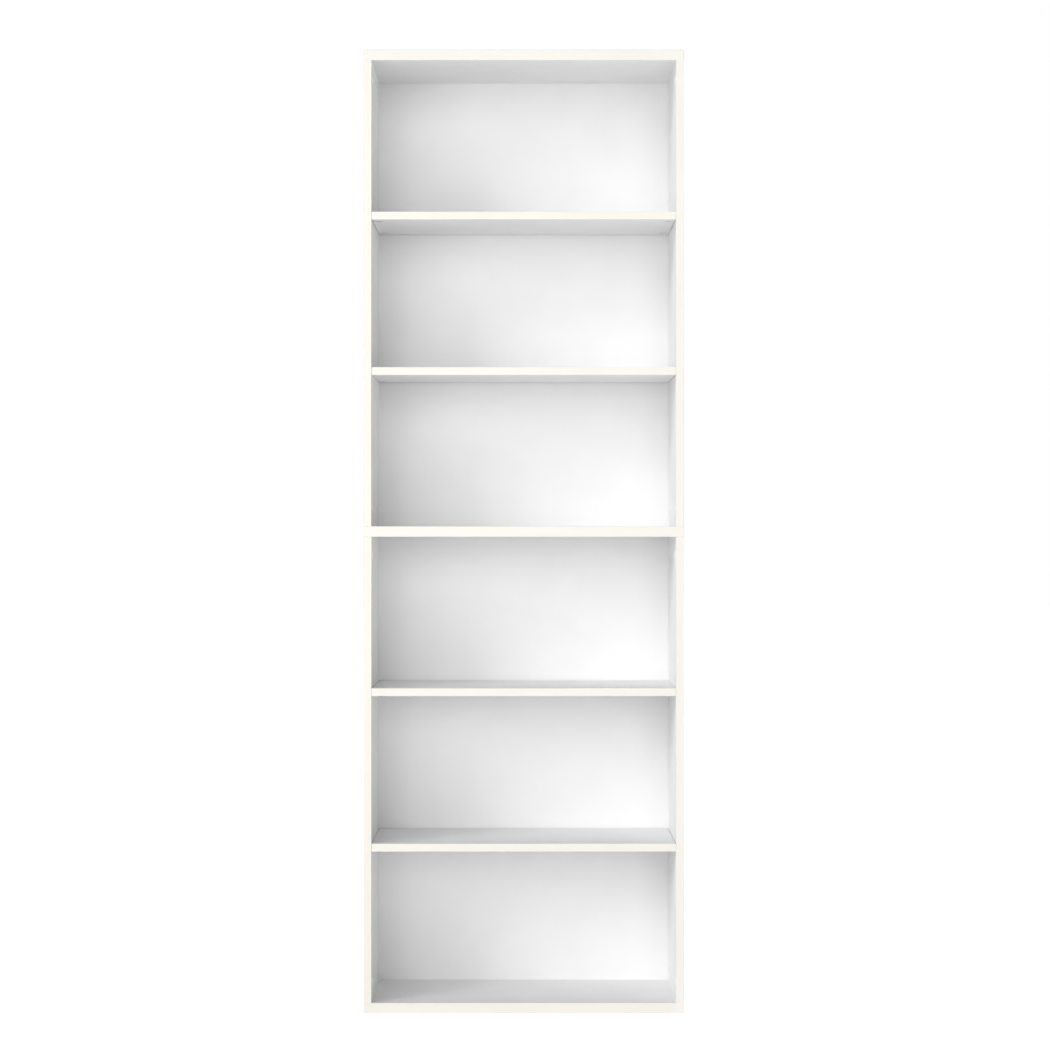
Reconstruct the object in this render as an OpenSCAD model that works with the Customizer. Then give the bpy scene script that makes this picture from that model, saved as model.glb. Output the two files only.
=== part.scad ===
// Tall narrow bookcase: three full-width panels, four side panels between them, a nailed back in two
// pieces and four loose shelves on steel pins. It comes apart into flat boards.
// The origin is on the floor at the centre of the footprint, +Z is up and the open front faces -Y.

/* [Carcass] */
// Overall width of the bookcase
case_w = 610; // [500:10:900]
// Overall height of the bookcase
case_h = 1835; // [1750:5:2000]
// Overall depth, from the front edging to the heads of the back's nails
case_d = 300; // [250:10:400]
// Thickness of the top, middle and bottom panels
main_t = 20; // [18:1:25]
// Thickness of the side panels
side_t = 15; // [15:0.5:18]
// Thickness of the plastic edging
band_t = 1; // [0.5:0.5:2]

/* [Back] */
// Thickness of the hardboard back
back_t = 3; // [2.5:0.5:4]
// How far the back's edges stay inside the outline of the carcass
back_inset = 2; // [1:0.5:3]
// Gap between the two pieces of the back
back_gap = 1; // [0.5:0.5:2]
// Nails up each side of one piece of the back
nails_up = 7; // [4:1:9]
// Nails across the top and bottom of one piece of the back
nails_across = 5; // [3:1:7]

/* [Shelves] */
// Thickness of a loose shelf
shelf_t = 15; // [15:0.5:18]
// Clear height of the first and last bay of a section
outer_bay = 288.25; // [270:0.25:295]
// Gap between a shelf's board and each side panel
shelf_gap = 1; // [0.5:0.25:1.5]
// Gap between a shelf's edging and each side panel
edging_gap = 0.25; // [0.25:0.25:0.5]
// Gap between a shelf and the back
shelf_back_gap = 2; // [1:0.5:5]

/* [Shelf holes] */
// Diameter of a shelf hole
hole_dia = 5; // [5:0.5:6]
// Depth of a shelf hole
hole_depth = 10; // [9.5:0.5:12]
// Distance between neighbouring holes of a row
hole_pitch = 32; // [25:1:32]
// Holes above each shelf's own hole, and as many below it
spare_holes = 2; // [1:1:2]
// Distance from the front of the bookcase to the front row of holes
row_inset = 37; // [35:1:50]

/* [Shelf pins] */
// Diameter of a pin's head
pin_head_dia = 7; // [6.5:0.5:8]
// Length of a pin's head
pin_head_l = 8; // [7:0.5:9]
// Length of a pin's shank
pin_shank_l = 9; // [8:0.5:9]
// Radial clearance of a shank in its hole
pin_fit = 0.05; // [0.02:0.01:0.1]

/* [Joinery] */
// Distance from a joint to the centre of its cam lock
cam_reach = 34; // [30:1:40]
// Diameter of a cam lock's hole
cam_hole_dia = 15; // [14:0.5:16]
// Diameter of a wooden dowel
dowel_dia = 8; // [6:0.5:8]
// Distance between a cam lock and the dowel beside it
dowel_step = 32; // [25:1:32]

/* [Hidden] */
$fn = 48;
over = 1;                                   // how far a cut runs past the surface that it opens

// Carcass outline
half_w = case_w / 2;
inner_x = half_w - side_t;                  // inner face of the right side panel
joint_x = half_w - side_t / 2;              // middle of the right side panel's thickness
front_y = -case_d / 2;
core_front_y = front_y + band_t;
nail_head_t = 0.5;
back_rear_y = case_d / 2 - nail_head_t;
core_rear_y = back_rear_y - back_t;         // rear edge of the boards, where the back lies
section_h = (case_h - 3 * main_t) / 2;      // length of a side panel
lower_z = main_t;                           // floor of the lower section
middle_z = lower_z + section_h;             // underside of the middle panel
upper_z = middle_z + main_t;                // floor of the upper section
top_z = case_h - main_t;                    // underside of the top panel

// Rows of holes, front and rear, on a whole number of pitches
row_ys = [front_y + row_inset,
          front_y + row_inset + hole_pitch * round((core_rear_y - front_y - 2 * row_inset) / hole_pitch)];
dowel_ys = [row_ys[0] + dowel_step, row_ys[1] - dowel_step];

// Shelves
shelf_half_w = inner_x - shelf_gap;
edging_half_w = inner_x - edging_gap;       // the edging runs past its board and closes the gap in front
shelf_rear_y = core_rear_y - shelf_back_gap;
low_seat = outer_bay;                       // undersides of a section's two shelves above its floor
high_seat = section_h - outer_bay - shelf_t;
shelf_zs = [upper_z + high_seat, upper_z + low_seat, lower_z + high_seat, lower_z + low_seat];

// Shelf pins, each with a flat on its head that the shelf rests on
pin_r = pin_head_dia / 2;
pin_flat = 0.4;                             // depth of the flat
pin_shank_r = hole_dia / 2 - pin_fit;
pin_chamfer = 0.4;
pocket_h = pin_head_dia - pin_flat;         // depth of a shelf's pocket, which holds the whole head
pocket_w = pin_head_dia + 1;
pocket_l = pin_head_l + pin_shank_l + 3;    // lets the pin draw out of its hole under the shelf

// Cam locks, their bolts and their caps
loose = 0.1;                                // radial clearance of the joinery in its holes
cam_r = cam_hole_dia / 2 - loose;
cam_depth = 12.5;
cam_sink = 0.5;                             // face of a cam below the face of its panel
cam_floor_gap = 0.2;
bolt_neck_r = 2.5;
bolt_head_r = 3.4;
bolt_head_t = 3;
bolt_thread_r = 3.5;
bolt_thread_l = 11;
bolt_ridges = 4;
bolt_hole_r = 4;
cam_lip = 1.5;                              // from the cam's centre back to the lip that holds the bolt's head
cam_slot_r = 2.8;
cam_chamber_r = 3.7;
drive_r = 2.5;
drive_depth = 2.5;
drive_slot = [9, 1.4];
cap_r = 8.5;
cap_t = 1;
cap_rim = 0.4;
cap_stub_r = 2.2;
cap_stub_l = 2.5;

// Dowels
dowel_r = dowel_dia / 2 - loose;
dowel_panel_l = 11;                         // length in a top or bottom panel
dowel_side_l = 19;                          // length in the end of a side panel
dowel_chamfer = 1;
dowel_flutes = 12;
flute_r = 0.35;
hole_spare = 1;                             // depth left beyond the end of a dowel or bolt

// Nails
nail_r = 0.8;
nail_head_r = 2;
nail_l = 20;
nail_point_l = 1.6;
nail_tip_r = 0.15;
nail_loose = 0.05;
nail_x = joint_x;
nail_middle_z = main_t / 4;                 // from the middle panel's centre to the nails of each piece

melamine = [0.94, 0.94, 0.94];
edging_cream = [0.99, 0.98, 0.94];
hardboard = [0.62, 0.47, 0.32];
steel = [0.72, 0.72, 0.73];
zinc = [0.62, 0.63, 0.65];
beech = [0.84, 0.68, 0.48];
cap_white = [0.97, 0.97, 0.96];

SECTIONS = ["upper", "lower"];
HANDS = ["left", "right"];
ROWS = ["front", "rear"];
SHELVES = [1, 2, 3, 4];

function section_z(section) = section == "upper" ? upper_z : lower_z;
function spread(first, last, count) = [for (i = [0 : count - 1]) first + i * (last - first) / (count - 1)];
function side_node(section, hand) = str(section, "_", hand, "_side");
function pin_node(n, row, hand) = str("shelf_", n, "_pin_", ROWS[row], "_", hand);

// ---- Placing ----

// A block between two opposite corners
module block(low, high) {
    translate(low) cube(high - low);
}

// Everything is drawn for the right side; the left side is its mirror image
module on_side(hand) {
    mirror([hand == "left" ? 1 : 0, 0, 0]) children();
}

module on_both_sides() {
    for (hand = HANDS) on_side(hand) children();
}

module at_ys(ys) {
    for (y = ys) translate([0, y, 0]) children();
}

// Both ends of a section's side panels, with +Z pointing from the joint into the side panel
module at_ends(section) {
    translate([0, 0, section_z(section)]) children();
    translate([0, 0, section_z(section) + section_h]) mirror([0, 0, 1]) children();
}

// The joints under the top panel, looking down into the side panels
module at_top_joints() {
    on_both_sides() translate([joint_x, 0, top_z]) mirror([0, 0, 1]) children();
}

// The joints on the bottom panel, looking up into the side panels
module at_bottom_joints() {
    on_both_sides() translate([joint_x, 0, lower_z]) children();
}

// The centre of the middle panel's thickness over each side panel
module at_middle_joints() {
    on_both_sides() translate([joint_x, 0, middle_z + main_t / 2]) children();
}

// ---- Back and nails ----

// Heights of the lowest and highest nails of one piece of the back
function nail_zs(section) = section == "upper"
    ? [case_h / 2 + nail_middle_z, case_h - main_t / 2]
    : [main_t / 2, case_h / 2 - nail_middle_z];

// Both sides from end to end, then the top and bottom rows between them
function nail_places(section) = concat(
    [for (side = [-1, 1], z = spread(nail_zs(section)[0], nail_zs(section)[1], nails_up)) [side * nail_x, z]],
    [for (i = [1 : nails_across - 2], z = nail_zs(section)) [spread(-nail_x, nail_x, nails_across)[i], z]]
);

// Points children's +Z forwards, starting at the rear face of the back
module at_nails(section) {
    for (place = nail_places(section))
        translate([place[0], back_rear_y, place[1]]) rotate([90, 0, 0]) children();
}

module nail_holes(section) {
    at_nails(section) translate([0, 0, -over]) cylinder(r = nail_r + nail_loose, h = nail_l + over);
}

module nail() {
    rotate_extrude() polygon([
        [0, -nail_head_t], [nail_head_r, -nail_head_t], [nail_head_r, 0], [nail_r, 0],
        [nail_r, nail_l - nail_head_t - nail_point_l],
        [nail_tip_r, nail_l - nail_head_t], [0, nail_l - nail_head_t]
    ]);
}

module back_nails(section) {
    color(steel) at_nails(section) nail();
}

module back(section) {
    low_z = section == "upper" ? (case_h + back_gap) / 2 : back_inset;
    high_z = section == "upper" ? case_h - back_inset : (case_h - back_gap) / 2;
    color(hardboard) difference() {
        block([back_inset - half_w, core_rear_y, low_z], [half_w - back_inset, back_rear_y, high_z]);
        nail_holes(section);
    }
}

// ---- Joinery. Each piece stands on a joint at z = 0, with +Z into the side panel ----

// The bolt's outline, from its thread in the panel to its head in the cam
module cam_bolt() {
    ridge = bolt_thread_l / bolt_ridges;
    rotate_extrude() polygon(concat(
        [[0, -bolt_thread_l]],
        [for (i = [0 : bolt_ridges - 1], p = [[bolt_neck_r, 0], [bolt_thread_r, ridge / 2]])
            [p[0], p[1] + i * ridge - bolt_thread_l]],
        [[bolt_neck_r, 0]],
        bolt_head_outline(0)
    ));
}

// Neck and chamfered head, for a joint that lies at the given height
function bolt_head_outline(joint_z) = let (
    base = joint_z + cam_reach - cam_lip + cam_floor_gap,
    chamfer = bolt_head_r / 4
) [
    [bolt_neck_r, base], [bolt_head_r, base], [bolt_head_r, base + bolt_head_t - chamfer],
    [bolt_head_r - chamfer, base + bolt_head_t], [0, base + bolt_head_t]
];

// A bolt with a head at each end, through the middle panel
module double_bolt() {
    outline = bolt_head_outline(main_t / 2);
    rotate_extrude() polygon(concat(
        outline,
        [for (i = [len(outline) - 1 : -1 : 0]) [outline[i][0], -outline[i][1]]]
    ));
}

// Fluted beech dowel between two heights
module dowel(low, high) {
    difference() {
        rotate_extrude() polygon([
            [0, low], [dowel_r - dowel_chamfer, low], [dowel_r, low + dowel_chamfer],
            [dowel_r, high - dowel_chamfer], [dowel_r - dowel_chamfer, high], [0, high]
        ]);
        for (i = [0 : dowel_flutes - 1])
            rotate([0, 0, i * 360 / dowel_flutes])
                translate([dowel_r, 0, low - over]) cylinder(r = flute_r, h = high - low + 2 * over);
    }
}

// Draws its children from the right side panel's inner face at a cam's centre, +X into the panel
module at_cam() {
    translate([inner_x, 0, cam_reach]) children();
}

module cam_lock() {
    bolt_x = side_t / 2;
    at_cam() difference() {
        translate([cam_sink, 0, 0]) rotate([0, 90, 0])
            cylinder(r = cam_r, h = cam_depth - cam_sink - cam_floor_gap);
        // chamber for the bolt's head, and the slot that its neck comes in by
        block([bolt_x - cam_chamber_r, -cam_chamber_r, -cam_lip],
              [bolt_x + cam_chamber_r, cam_chamber_r, cam_lip + bolt_head_t / 2]);
        block([bolt_x - cam_slot_r, -cam_slot_r, -cam_r - over], [bolt_x + cam_slot_r, cam_slot_r, 0]);
        // cross recess for the screwdriver
        translate([-over, 0, 0]) rotate([0, 90, 0]) cylinder(r = drive_r, h = over + cam_sink + drive_depth);
        for (turn = [45, 135])
            rotate([turn, 0, 0])
                block([-over, -drive_slot[0] / 2, -drive_slot[1] / 2],
                      [cam_sink + drive_depth, drive_slot[0] / 2, drive_slot[1] / 2]);
    }
}

module cam_cap() {
    at_cam() rotate([0, 90, 0]) rotate_extrude() polygon([
        [0, -cap_t], [cap_r - cap_rim, -cap_t], [cap_r, cap_rim - cap_t], [cap_r, 0],
        [cap_stub_r, 0], [cap_stub_r, cap_stub_l], [0, cap_stub_l]
    ]);
}

module cam_locks(section, hand) {
    color(zinc) on_side(hand) at_ends(section) at_ys(row_ys) cam_lock();
}

module cam_caps(section, hand) {
    color(cap_white) on_side(hand) at_ends(section) at_ys(row_ys) cam_cap();
}

module top_cam_bolts() {
    color(steel) at_top_joints() at_ys(row_ys) cam_bolt();
}

module bottom_cam_bolts() {
    color(steel) at_bottom_joints() at_ys(row_ys) cam_bolt();
}

module middle_double_bolts() {
    color(steel) at_middle_joints() at_ys(row_ys) double_bolt();
}

module top_dowels() {
    color(beech) at_top_joints() at_ys(dowel_ys) dowel(-dowel_panel_l, dowel_side_l);
}

module bottom_dowels() {
    color(beech) at_bottom_joints() at_ys(dowel_ys) dowel(-dowel_panel_l, dowel_side_l);
}

module middle_dowels() {
    reach = main_t / 2 + dowel_side_l;
    color(beech) at_middle_joints() at_ys(dowel_ys) dowel(-reach, reach);
}

// ---- Boards ----

// Holes in the end of a side panel: bolts, dowels and the cams' round seats
module side_end_holes() {
    translate([joint_x, 0, -over]) {
        at_ys(row_ys) cylinder(r = bolt_hole_r, h = cam_reach + over);
        at_ys(dowel_ys) cylinder(d = dowel_dia, h = dowel_side_l + hole_spare + over);
    }
    at_ys(row_ys) at_cam() translate([-over, 0, 0])
        rotate([0, 90, 0]) cylinder(d = cam_hole_dia, h = cam_depth + over);
}

// The groups of blind holes around each shelf of a section
module shelf_holes(section) {
    for (seat = [low_seat, high_seat], i = [-spare_holes : spare_holes], y = row_ys)
        translate([inner_x - over, y, section_z(section) + seat + pin_r + i * hole_pitch])
            rotate([0, 90, 0]) cylinder(d = hole_dia, h = hole_depth + over);
}

module side_panel(section, hand) {
    floor_z = section_z(section);
    color(melamine) difference() {
        on_side(hand) difference() {
            block([inner_x, core_front_y, floor_z], [half_w, core_rear_y, floor_z + section_h]);
            shelf_holes(section);
            at_ends(section) side_end_holes();
        }
        nail_holes(section);
    }
}

module side_edging(section, hand) {
    floor_z = section_z(section);
    color(edging_cream) on_side(hand)
        block([inner_x, front_y, floor_z], [half_w, core_front_y, floor_z + section_h]);
}

// Core of a full-width panel
module panel_core(low_z) {
    edge_x = half_w - band_t;
    block([-edge_x, core_front_y, low_z], [edge_x, core_rear_y, low_z + main_t]);
}

// Edging round the front and both ends of a full-width panel
module panel_edging(low_z) {
    edge_x = half_w - band_t;
    color(edging_cream) difference() {
        block([-half_w, front_y, low_z], [half_w, core_rear_y, low_z + main_t]);
        block([-edge_x, core_front_y, low_z - over], [edge_x, core_rear_y + over, low_z + main_t + over]);
    }
}

// Blind holes in a top or bottom panel, for the bolts' threads and the dowels
module panel_end_holes() {
    mirror([0, 0, 1]) translate([0, 0, -over]) {
        at_ys(row_ys) cylinder(r = bolt_thread_r + loose, h = bolt_thread_l + hole_spare + over);
        at_ys(dowel_ys) cylinder(d = dowel_dia, h = dowel_panel_l + hole_spare + over);
    }
}

module top_panel() {
    color(melamine) difference() {
        panel_core(top_z);
        at_top_joints() panel_end_holes();
        nail_holes("upper");
    }
}

module middle_panel() {
    through = main_t + 2 * over;
    color(melamine) difference() {
        panel_core(middle_z);
        at_middle_joints() {
            at_ys(row_ys) cylinder(r = bolt_hole_r, h = through, center = true);
            at_ys(dowel_ys) cylinder(d = dowel_dia, h = through, center = true);
        }
        nail_holes("upper");
        nail_holes("lower");
    }
}

module bottom_panel() {
    color(melamine) difference() {
        panel_core(0);
        at_bottom_joints() panel_end_holes();
        nail_holes("lower");
    }
}

// ---- Shelves and pins ----

// Round-ended pocket in a shelf's underside, open at the shelf's end
module pin_pocket() {
    round_x = shelf_half_w - pocket_l + pocket_w / 2;
    translate([round_x, 0, -over]) cylinder(d = pocket_w, h = pocket_h + over);
    block([round_x, -pocket_w / 2, -over], [shelf_half_w + over, pocket_w / 2, pocket_h]);
}

module shelf(n) {
    color(melamine) translate([0, 0, shelf_zs[n - 1]]) difference() {
        block([-shelf_half_w, core_front_y, 0], [shelf_half_w, shelf_rear_y, shelf_t]);
        on_both_sides() at_ys(row_ys) pin_pocket();
    }
}

module shelf_edging(n) {
    color(edging_cream) translate([0, 0, shelf_zs[n - 1]])
        block([-edging_half_w, front_y, 0], [edging_half_w, core_front_y, shelf_t]);
}

// Head in the pocket, shank in the side panel, and a flat on top of the head
module shelf_pin(n, row, hand) {
    color(steel) on_side(hand) translate([inner_x, row_ys[row], shelf_zs[n - 1] + pin_r]) difference() {
        rotate([0, 90, 0]) rotate_extrude() polygon([
            [0, -pin_head_l], [pin_r - pin_chamfer, -pin_head_l], [pin_r, pin_chamfer - pin_head_l],
            [pin_r, 0], [pin_shank_r, 0], [pin_shank_r, pin_shank_l - pin_chamfer],
            [pin_shank_r - pin_chamfer, pin_shank_l], [0, pin_shank_l]
        ]);
        block([-pin_head_l - over, -pin_r, pin_r - pin_flat], [0, pin_r, pin_r + over]);
    }
}

// ---- Assembly ----

top_panel();
middle_panel();
bottom_panel();
panel_edging(top_z);  // top_panel_edging
panel_edging(middle_z);  // middle_panel_edging
panel_edging(0);  // bottom_panel_edging
top_cam_bolts();
bottom_cam_bolts();
middle_double_bolts();
top_dowels();
bottom_dowels();
middle_dowels();
for (s = SECTIONS) {
    back(s);
    back_nails(s);
}
for (s = SECTIONS, h = HANDS) {
    side_panel(s, h);
    side_edging(s, h);
    cam_locks(s, h);
    cam_caps(s, h);
}
for (n = SHELVES) {
    shelf(n);
    shelf_edging(n);
    for (row = [0, 1], h = HANDS)
        shelf_pin(n, row, h);
}
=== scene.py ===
import math

import bpy
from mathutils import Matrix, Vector


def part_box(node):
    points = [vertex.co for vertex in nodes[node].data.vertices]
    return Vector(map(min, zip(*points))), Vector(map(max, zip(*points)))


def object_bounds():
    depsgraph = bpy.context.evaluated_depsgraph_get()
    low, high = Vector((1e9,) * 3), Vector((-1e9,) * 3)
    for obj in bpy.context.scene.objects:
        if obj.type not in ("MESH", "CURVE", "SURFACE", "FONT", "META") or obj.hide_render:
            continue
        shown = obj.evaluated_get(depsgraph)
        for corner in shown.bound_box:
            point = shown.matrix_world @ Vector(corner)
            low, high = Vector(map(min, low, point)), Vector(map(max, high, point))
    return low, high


# The looks of a tall flat-pack bookcase: white melamine boards, cream edging, a white-faced hardboard
# back and nickel-plated pins. Every CAD node keeps its own mesh; this script adds eased edges,
# materials, a pale floor, soft light and the camera. Lengths are in metres.

MM = 0.001

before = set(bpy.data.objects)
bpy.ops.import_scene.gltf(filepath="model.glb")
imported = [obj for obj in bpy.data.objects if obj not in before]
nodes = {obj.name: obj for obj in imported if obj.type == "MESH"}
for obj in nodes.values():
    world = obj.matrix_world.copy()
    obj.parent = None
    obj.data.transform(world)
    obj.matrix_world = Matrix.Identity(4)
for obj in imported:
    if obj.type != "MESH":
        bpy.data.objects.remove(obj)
cad_low, cad_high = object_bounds()
case_w = cad_high.x - cad_low.x
front_y = cad_low.y
centre_z = (cad_low.z + cad_high.z) / 2


# ---- Camera ----

def make_camera():
    """Level, straight in front and half-way up, far enough away for the shallow view into the bays."""
    bay_depth_to_distance = 0.0521
    view_to_case_width = 3.277
    below_centre = 0.5 * MM
    sensor_mm = 36.0
    bay_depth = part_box("upper_back")[0].y - front_y
    distance = bay_depth / bay_depth_to_distance
    view_w = view_to_case_width * case_w
    data = bpy.data.cameras.new("camera")
    data.sensor_width = sensor_mm
    data.lens = sensor_mm * distance / view_w
    data.shift_x = 0.0012
    data.shift_y = 0.0065
    data.clip_end = 200
    camera = bpy.data.objects.new("camera", data)
    camera.location = (0, front_y - distance, centre_z - below_centre)
    camera.rotation_euler = (math.pi / 2, 0, 0)
    bpy.context.collection.objects.link(camera)
    bpy.context.scene.camera = camera


# ---- Node helpers ----

def new_material(name):
    material = bpy.data.materials.new(name)
    material.use_nodes = True
    tree = material.node_tree
    return material, tree, tree.nodes["Principled BSDF"]


def finish_shader(tree, shader, colour, roughness, normal):
    """Links what varies over the surface to its shader."""
    for name, output in (("Base Color", colour), ("Roughness", roughness), ("Normal", normal)):
        tree.links.new(output, shader.inputs[name])


def feed(tree, socket, value):
    """Links a socket to another node's output, or sets it to a number or a colour."""
    if isinstance(value, bpy.types.NodeSocket):
        tree.links.new(value, socket)
    elif isinstance(value, (int, float)):
        socket.default_value = value
    else:
        socket.default_value = (*value, 1)


def math_node(tree, operation, *values):
    node = tree.nodes.new("ShaderNodeMath")
    node.operation = operation
    for socket, value in zip(node.inputs, values):
        feed(tree, socket, value)
    return node.outputs[0]


def mix_colour(tree, factor, a, b):
    """Colour a where factor is 0 and b where it is 1. The sockets' names repeat, so they go by index."""
    node = tree.nodes.new("ShaderNodeMix")
    node.data_type = "RGBA"
    for index, value in ((0, factor), (6, a), (7, b)):
        feed(tree, node.inputs[index], value)
    return node.outputs[2]


def mix_normal(tree, factor, a, b):
    """Normal a where factor is 0 and b where it is 1."""
    node = tree.nodes.new("ShaderNodeMix")
    node.data_type = "VECTOR"
    for index, value in ((0, factor), (4, a), (5, b)):
        tree.links.new(value, node.inputs[index])
    return node.outputs[1]


def object_coords(tree, stretch=(1, 1, 1)):
    """Object coordinates in metres, divided by stretch along each axis."""
    coords = tree.nodes.new("ShaderNodeTexCoord")
    mapping = tree.nodes.new("ShaderNodeMapping")
    mapping.inputs["Scale"].default_value = [1 / s for s in stretch]
    tree.links.new(coords.outputs["Object"], mapping.inputs["Vector"])
    return mapping.outputs["Vector"]


def through_box(tree, axis):
    """How far through its node's box a point lies along an axis, from 0 to 1."""
    coords = tree.nodes.new("ShaderNodeTexCoord")
    split = tree.nodes.new("ShaderNodeSeparateXYZ")
    tree.links.new(coords.outputs["Generated"], split.inputs[0])
    return split.outputs[axis]


def noise(tree, vector, size, detail=2.0, roughness=0.5):
    """Noise whose features are about size metres across."""
    node = tree.nodes.new("ShaderNodeTexNoise")
    node.inputs["Scale"].default_value = 1 / size
    node.inputs["Detail"].default_value = detail
    node.inputs["Roughness"].default_value = roughness
    tree.links.new(vector, node.inputs["Vector"])
    return node.outputs["Fac"]


def cells(tree, vector, size):
    """Distance to the nearest cell's middle, in cell sizes; the cells are about size metres across."""
    node = tree.nodes.new("ShaderNodeTexVoronoi")
    node.inputs["Scale"].default_value = 1 / size
    tree.links.new(vector, node.inputs["Vector"])
    return node.outputs["Distance"]


def span(tree, value, low, high, to_low=0.0, to_high=1.0):
    """Maps value from low..high to to_low..to_high, clamped."""
    node = tree.nodes.new("ShaderNodeMapRange")
    tree.links.new(value, node.inputs["Value"])
    for name, number in zip(("From Min", "From Max", "To Min", "To Max"), (low, high, to_low, to_high)):
        node.inputs[name].default_value = number
    return node.outputs["Result"]


def bump(tree, height, depth, strength=0.6, under=None):
    """A bump of that depth in metres; under is another bump's normal."""
    node = tree.nodes.new("ShaderNodeBump")
    node.inputs["Strength"].default_value = strength
    node.inputs["Distance"].default_value = depth
    tree.links.new(height, node.inputs["Height"])
    if under is not None:
        tree.links.new(under, node.inputs["Normal"])
    return node.outputs["Normal"]


# ---- Materials ----

# What most of a noise lies between: a fine grain, and large soft patches
GRAIN = 0.3, 0.7
PATCHES = 0.35, 0.65


def melamine_finish(tree):
    """Colour, roughness and normal of white melamine: a fine pearl grain on a very slightly uneven board."""
    dull_white, white = (0.844, 0.845, 0.846), (0.860, 0.860, 0.859)
    coords = object_coords(tree)
    pearl = noise(tree, coords, 0.9 * MM, detail=3, roughness=0.6)
    cloud = noise(tree, coords, 90 * MM, detail=3)
    colour = mix_colour(tree, span(tree, cloud, *PATCHES), dull_white, white)
    roughness = span(tree, pearl, *GRAIN, 0.46, 0.58)
    waves = bump(tree, noise(tree, coords, 60 * MM), 0.15 * MM)
    normal = bump(tree, pearl, 0.04 * MM, under=waves)
    return colour, roughness, normal


def chip_finish(tree):
    """Colour and normal of raw particleboard, where it is sawn or drilled: tan chips, with painted shade in
    the gaps between them.
    """
    tan, pale_tan, painted_gap_shade = (0.46, 0.35, 0.225), (0.68, 0.56, 0.40), (0.32, 0.23, 0.14)
    coords = object_coords(tree)
    chips = cells(tree, coords, 1.6 * MM)
    flakes = noise(tree, coords, 3.2 * MM, detail=4, roughness=0.7)
    tone = mix_colour(tree, span(tree, flakes, *GRAIN), tan, pale_tan)
    # Painted shade: the gaps between the chips are coloured darker brown to stand in for the shade in those
    # small hollows
    gap_shade_amount = span(tree, chips, 0.25, 0.75, 0, 0.55)
    return mix_colour(tree, gap_shade_amount, tone, painted_gap_shade), bump(tree, chips, 0.25 * MM, strength=0.7)


def board_material(name, axis):
    """White on a board's two faces across axis, particleboard on everything between them."""
    skin = 0.02
    raw_roughness = 0.9
    material, tree, shader = new_material(name)
    shader.inputs["Specular IOR Level"].default_value = 0.4
    white, white_roughness, white_normal = melamine_finish(tree)
    raw, raw_normal = chip_finish(tree)
    through = through_box(tree, axis)
    inside = math_node(
        tree, "MULTIPLY",
        math_node(tree, "GREATER_THAN", through, skin),
        math_node(tree, "LESS_THAN", through, 1 - skin),
    )
    finish_shader(
        tree, shader,
        mix_colour(tree, inside, white, raw),
        math_node(tree, "MAXIMUM", white_roughness, math_node(tree, "MULTIPLY", inside, raw_roughness)),
        mix_normal(tree, inside, white_normal, raw_normal),
    )
    return material


def edging_material():
    """Cream plastic edging with a very fine grain."""
    dull_cream, cream = (0.758, 0.736, 0.678), (0.774, 0.751, 0.692)
    material, tree, shader = new_material("cream_edging")
    coords = object_coords(tree)
    grain = noise(tree, coords, 0.7 * MM, detail=3, roughness=0.6)
    drift = noise(tree, coords, 120 * MM, detail=2)
    finish_shader(
        tree, shader,
        mix_colour(tree, span(tree, drift, *PATCHES), dull_cream, cream),
        span(tree, grain, *GRAIN, 0.42, 0.54),
        bump(tree, grain, 0.015 * MM, strength=0.5),
    )
    return material


def back_material():
    """Hardboard: painted white on the side that faces the bays, bare brown fibre behind and on the edges."""
    dull_white, white = (0.844, 0.844, 0.844), (0.860, 0.860, 0.859)
    dark_fibre, pale_fibre = (0.24, 0.145, 0.075), (0.37, 0.245, 0.14)
    pale_fleck, dark_blotch = (0.47, 0.34, 0.21), (0.22, 0.13, 0.07)
    painted_depth = 0.05
    bare_roughness, painted_roughness = 0.82, 0.5
    fleck_strength, fibre_under_paint = 0.35, 0.25
    material, tree, shader = new_material("hardboard_back")
    coords = object_coords(tree)
    fibre = noise(tree, object_coords(tree, (1, 1, 3)), 1.1 * MM, detail=5, roughness=0.7)
    blotch = noise(tree, coords, 70 * MM, detail=4)
    fleck = span(tree, noise(tree, coords, 2.4 * MM, detail=3, roughness=0.75), 0.42, 0.62)
    brown = mix_colour(tree, span(tree, fibre, *GRAIN), dark_fibre, pale_fibre)
    brown = mix_colour(tree, math_node(tree, "MULTIPLY", fleck, fleck_strength), brown, pale_fleck)
    brown = mix_colour(tree, span(tree, blotch, *PATCHES, 0, 0.3), brown, dark_blotch)
    paint = mix_colour(tree, span(tree, blotch, *PATCHES), dull_white, white)
    painted = math_node(tree, "LESS_THAN", through_box(tree, 1), painted_depth)
    height = math_node(tree, "MULTIPLY", fibre, span(tree, painted, 0, 1, 1, fibre_under_paint))
    finish_shader(
        tree, shader,
        mix_colour(tree, painted, brown, paint),
        span(tree, painted, 0, 1, bare_roughness, painted_roughness),
        bump(tree, height, 0.08 * MM),
    )
    return material


def metal_material(name, colour, roughness, grain_size, grain_depth):
    """Bare or plated metal with a fine machined or cast grain and faint darker patches."""
    darker = [0.8 * c for c in colour]
    smoothest, roughest = roughness - 0.06, roughness + 0.08
    material, tree, shader = new_material(name)
    shader.inputs["Metallic"].default_value = 1.0
    coords = object_coords(tree)
    grain = noise(tree, coords, grain_size, detail=4, roughness=0.65)
    patch = noise(tree, coords, 6 * MM, detail=3)
    finish_shader(
        tree, shader,
        mix_colour(tree, span(tree, patch, *PATCHES), darker, colour),
        span(tree, grain, *GRAIN, smoothest, roughest),
        bump(tree, grain, grain_depth),
    )
    return material


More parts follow.
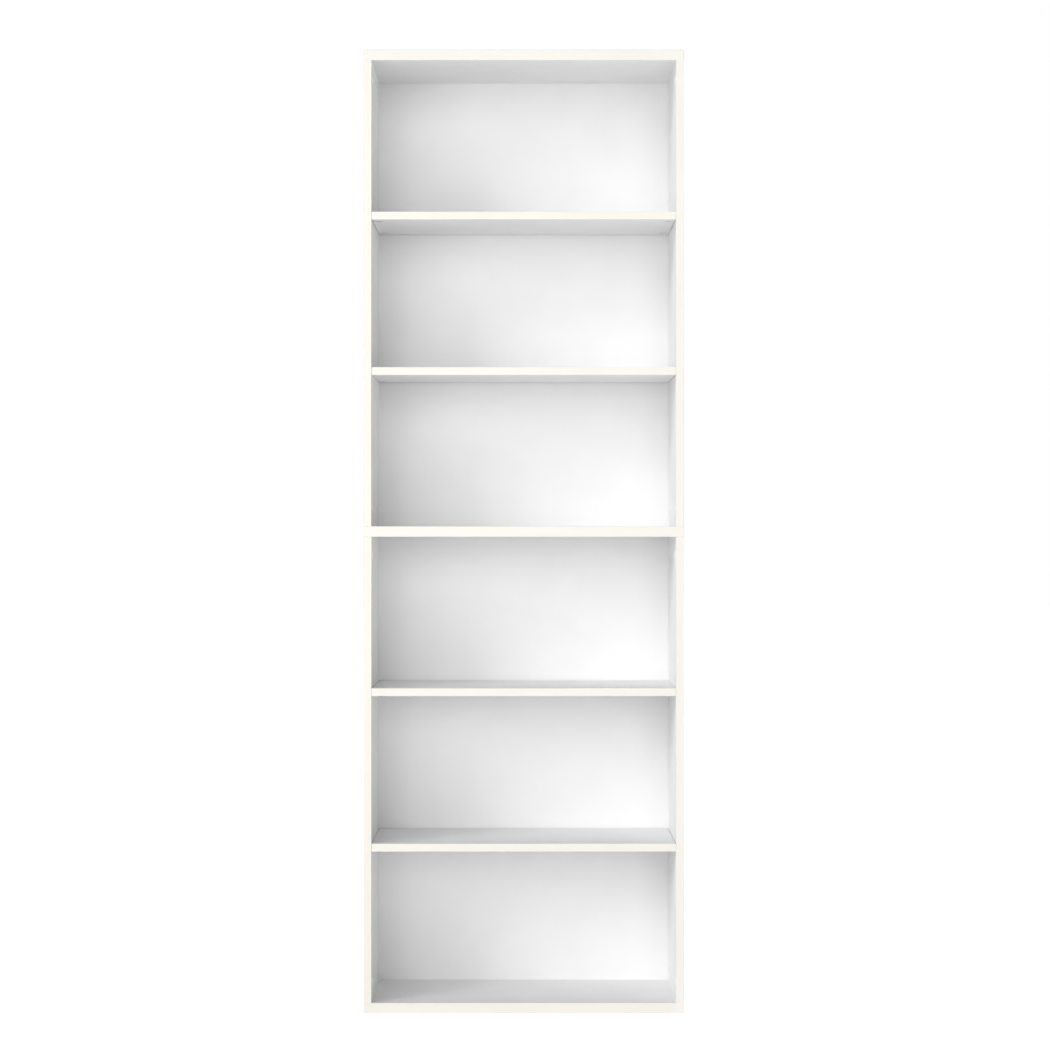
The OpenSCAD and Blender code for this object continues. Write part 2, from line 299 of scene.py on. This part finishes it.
def cap_material():
    """Moulded white plastic with a satin skin."""
    dull_white, white = (0.86, 0.86, 0.85), (0.88, 0.88, 0.87)
    material, tree, shader = new_material("white_plastic")
    coords = object_coords(tree)
    spark = noise(tree, coords, 0.35 * MM, detail=2)
    cloud = noise(tree, coords, 12 * MM)
    finish_shader(
        tree, shader,
        mix_colour(tree, span(tree, cloud, *PATCHES), dull_white, white),
        span(tree, spark, *GRAIN, 0.36, 0.5),
        bump(tree, spark, 0.01 * MM, strength=0.5),
    )
    return material


def dowel_material():
    """Beech: pale pink-brown with short darker flecks along the dowel."""
    beech, pale_beech, fleck_brown = (0.52, 0.34, 0.2), (0.68, 0.49, 0.31), (0.33, 0.19, 0.1)
    material, tree, shader = new_material("beech")
    grain = noise(tree, object_coords(tree, (1, 1, 14)), 0.8 * MM, detail=4, roughness=0.6)
    fleck = noise(tree, object_coords(tree, (1, 1, 5)), 0.5 * MM, detail=2)
    tone = mix_colour(tree, span(tree, grain, *GRAIN), beech, pale_beech)
    finish_shader(
        tree, shader,
        mix_colour(tree, span(tree, fleck, 0.6, 0.72, 0, 0.6), tone, fleck_brown),
        span(tree, grain, *GRAIN, 0.55, 0.7),
        bump(tree, grain, 0.06 * MM),
    )
    return material


def paint_nodes():
    """Gives each node the material of the first word here that its name holds."""
    steel = metal_material("bright_steel", (0.42, 0.42, 0.43), 0.35, 0.4 * MM, 0.01 * MM)
    finishes = [
        ("_edging", edging_material()),
        ("_side", board_material("melamine_upright", 0)),
        ("_pin_", metal_material("nickel", (0.74, 0.72, 0.68), 0.24, 0.5 * MM, 0.008 * MM)),
        ("_nails", steel),
        ("_bolts", steel),
        ("_cam_locks", metal_material("cast_zinc", (0.5, 0.51, 0.52), 0.45, 0.6 * MM, 0.03 * MM)),
        ("_cam_caps", cap_material()),
        ("_dowels", dowel_material()),
        ("_back", back_material()),
        ("", board_material("melamine_level", 2)),
    ]
    for name, node in nodes.items():
        material = next(material for word, material in finishes if word in name)
        node.data.materials.clear()
        node.data.materials.append(material)


# ---- Eased edges ----

def compare(tree, value, operation, threshold):
    node = tree.nodes.new("FunctionNodeCompare")
    node.operation = operation
    tree.links.new(value, node.inputs["A"])
    node.inputs["B"].default_value = threshold
    return node.outputs[0]


def combine(tree, a, operation, b):
    """Two selections joined by AND or OR."""
    node = tree.nodes.new("FunctionNodeBooleanMath")
    node.operation = operation
    for socket, value in zip(node.inputs, (a, b)):
        tree.links.new(value, socket)
    return node.outputs[0]


def edge_length(tree):
    ends = tree.nodes.new("GeometryNodeInputMeshEdgeVertices")
    length = tree.nodes.new("ShaderNodeVectorMath")
    length.operation = "DISTANCE"
    for socket, end in zip(length.inputs, ("Position 1", "Position 2")):
        tree.links.new(ends.outputs[end], socket)
    return length.outputs["Value"]


def outer_edges_group(name, with_ends):
    """Marks the sharp edges that the bevel after it rounds.

    Those are an edging's two long edges on its front face, whose ends are cut square, or with_ends
    all its edges on the front face and the end faces.
    """
    near = 0.1 * MM
    over_board_thickness = 30 * MM
    least_angle = math.radians(40)
    group = bpy.data.node_groups.new(name, "GeometryNodeTree")
    for way in ("INPUT", "OUTPUT"):
        group.interface.new_socket("Geometry", in_out=way, socket_type="NodeSocketGeometry")
    split = group.nodes.new("ShaderNodeSeparateXYZ")
    group.links.new(group.nodes.new("GeometryNodeInputPosition").outputs[0], split.inputs[0])
    outer = compare(group, split.outputs["Y"], "LESS_THAN", front_y + near)
    if with_ends:
        sideways = math_node(group, "ABSOLUTE", split.outputs["X"])
        outer = combine(group, outer, "OR", compare(group, sideways, "GREATER_THAN", case_w / 2 - near))
    else:
        long_edge = compare(group, edge_length(group), "GREATER_THAN", over_board_thickness)
        outer = combine(group, outer, "AND", long_edge)
    angle = group.nodes.new("GeometryNodeInputMeshEdgeAngle").outputs["Unsigned Angle"]
    sharp = compare(group, angle, "GREATER_THAN", least_angle)
    store = group.nodes.new("GeometryNodeStoreNamedAttribute")
    store.data_type = "FLOAT"
    store.domain = "EDGE"
    store.inputs["Name"].default_value = "bevel_weight_edge"
    store.inputs["Value"].default_value = 1.0
    group.links.new(group.nodes.new("NodeGroupInput").outputs[0], store.inputs["Geometry"])
    group.links.new(combine(group, outer, "AND", sharp), store.inputs["Selection"])
    group.links.new(store.outputs[0], group.nodes.new("NodeGroupOutput").inputs[0])
    return group


def ease_outer_edges(node, group, radius):
    """Rounds an edging's outer edges and leaves its seam with the board crisp.

    The CAD mesh's faces don't share their corners, so a weld joins them first for the bevel.
    """
    weld = node.modifiers.new("joined_faces", "WELD")
    weld.merge_threshold = 0.002 * MM
    node.modifiers.new("outer_edges", "NODES").node_group = group
    bevel = node.modifiers.new("eased_edges", "BEVEL")
    bevel.width = radius
    bevel.segments = 4
    bevel.limit_method = "WEIGHT"
    bevel.harden_normals = True


def ease_edgings():
    """The panels run the full width, so their edging's ends show too."""
    radius = 0.8 * MM
    long_only = outer_edges_group("long_outer_edges", False)
    with_ends = outer_edges_group("outer_edges_with_ends", True)
    for name, node in nodes.items():
        if name.endswith("_panel_edging"):
            ease_outer_edges(node, with_ends, radius)
        elif name.endswith("_edging"):
            ease_outer_edges(node, long_only, radius)


# ---- Floor and light ----

AMBIENT = 0.2
SUN_DISTANCE = 3
SUNS = [
    # name, degrees left of the camera, degrees up, softness in degrees, strength
    ("key", 45, 25, 28, 1.39),
    ("front", 0, 5, 28, 0.94),
    ("behind", -150, 55, 28, 1.3),
]
SOFTBOX_DIRECTION = 25, 6                   # degrees left of the camera, degrees up
SOFTBOX_DISTANCE = 2.6
SOFTBOX_SIZE = 1.3
SOFTBOX_POWER = 12.7


def make_floor():
    """A pale matt floor like a light table: it glows, so the shadows on it stay faint."""
    floor_size = 60
    grey, pale_grey = (0.3, 0.3, 0.3), (0.32, 0.32, 0.32)
    glow_seen, glow_cast = 0.9, 0.7
    bpy.ops.mesh.primitive_plane_add(size=floor_size)
    floor = bpy.context.object
    floor.name = "floor"
    material, tree, shader = new_material("pale_floor")
    tone = noise(tree, object_coords(tree), 0.4, detail=3)
    colour = mix_colour(tree, span(tree, tone, *PATCHES), grey, pale_grey)
    tree.links.new(colour, shader.inputs["Base Color"])
    shader.inputs["Roughness"].default_value = 0.9
    shader.inputs["Specular IOR Level"].default_value = 0.0
    shader.inputs["Emission Color"].default_value = (1, 1, 1, 1)
    seen = tree.nodes.new("ShaderNodeLightPath").outputs["Is Camera Ray"]
    tree.links.new(span(tree, seen, 0, 1, glow_cast, glow_seen), shader.inputs["Emission Strength"])
    floor.data.materials.append(material)


def make_world():
    """White behind everything the camera sees, and a weaker even light on the bookcase."""
    world = bpy.data.worlds.new("studio")
    world.use_nodes = True
    bpy.context.scene.world = world
    tree = world.node_tree
    ambient = tree.nodes["Background"]
    ambient.inputs["Strength"].default_value = AMBIENT
    seen = tree.nodes.new("ShaderNodeBackground")
    for background in (ambient, seen):
        background.inputs["Color"].default_value = (1, 1, 1, 1)
    mix = tree.nodes.new("ShaderNodeMixShader")
    tree.links.new(tree.nodes.new("ShaderNodeLightPath").outputs["Is Camera Ray"], mix.inputs[0])
    tree.links.new(ambient.outputs[0], mix.inputs[1])
    tree.links.new(seen.outputs[0], mix.inputs[2])
    tree.links.new(mix.outputs[0], tree.nodes["World Output"].inputs["Surface"])


def towards(left, up):
    """Unit vector from the bookcase to a light, by its angles left of the camera and up."""
    a, e = math.radians(left), math.radians(up)
    return Vector((-math.sin(a) * math.cos(e), -math.cos(a) * math.cos(e), math.sin(e)))


def add_light(data, location, aim):
    lamp = bpy.data.objects.new(data.name, data)
    lamp.location = location
    lamp.rotation_euler = (location - aim).to_track_quat("Z", "Y").to_euler()
    lamp.visible_camera = False
    bpy.context.collection.objects.link(lamp)


def make_lights():
    """Three very soft suns, and a round softbox nearer by, a little above the bookcase's middle."""
    centre = Vector((0, front_y, centre_z))
    for name, left, up, softness, strength in SUNS:
        sun = bpy.data.lights.new(name, "SUN")
        sun.energy = strength
        sun.angle = math.radians(softness)
        add_light(sun, centre + SUN_DISTANCE * towards(left, up), centre)
    softbox = bpy.data.lights.new("softbox", "AREA")
    softbox.shape = "DISK"
    softbox.size = SOFTBOX_SIZE
    softbox.energy = SOFTBOX_POWER
    add_light(softbox, centre + SOFTBOX_DISTANCE * towards(*SOFTBOX_DIRECTION), centre)


bpy.context.scene.view_settings.view_transform = "Standard"
make_camera()
paint_nodes()
ease_edgings()
make_floor()
make_world()
make_lights()
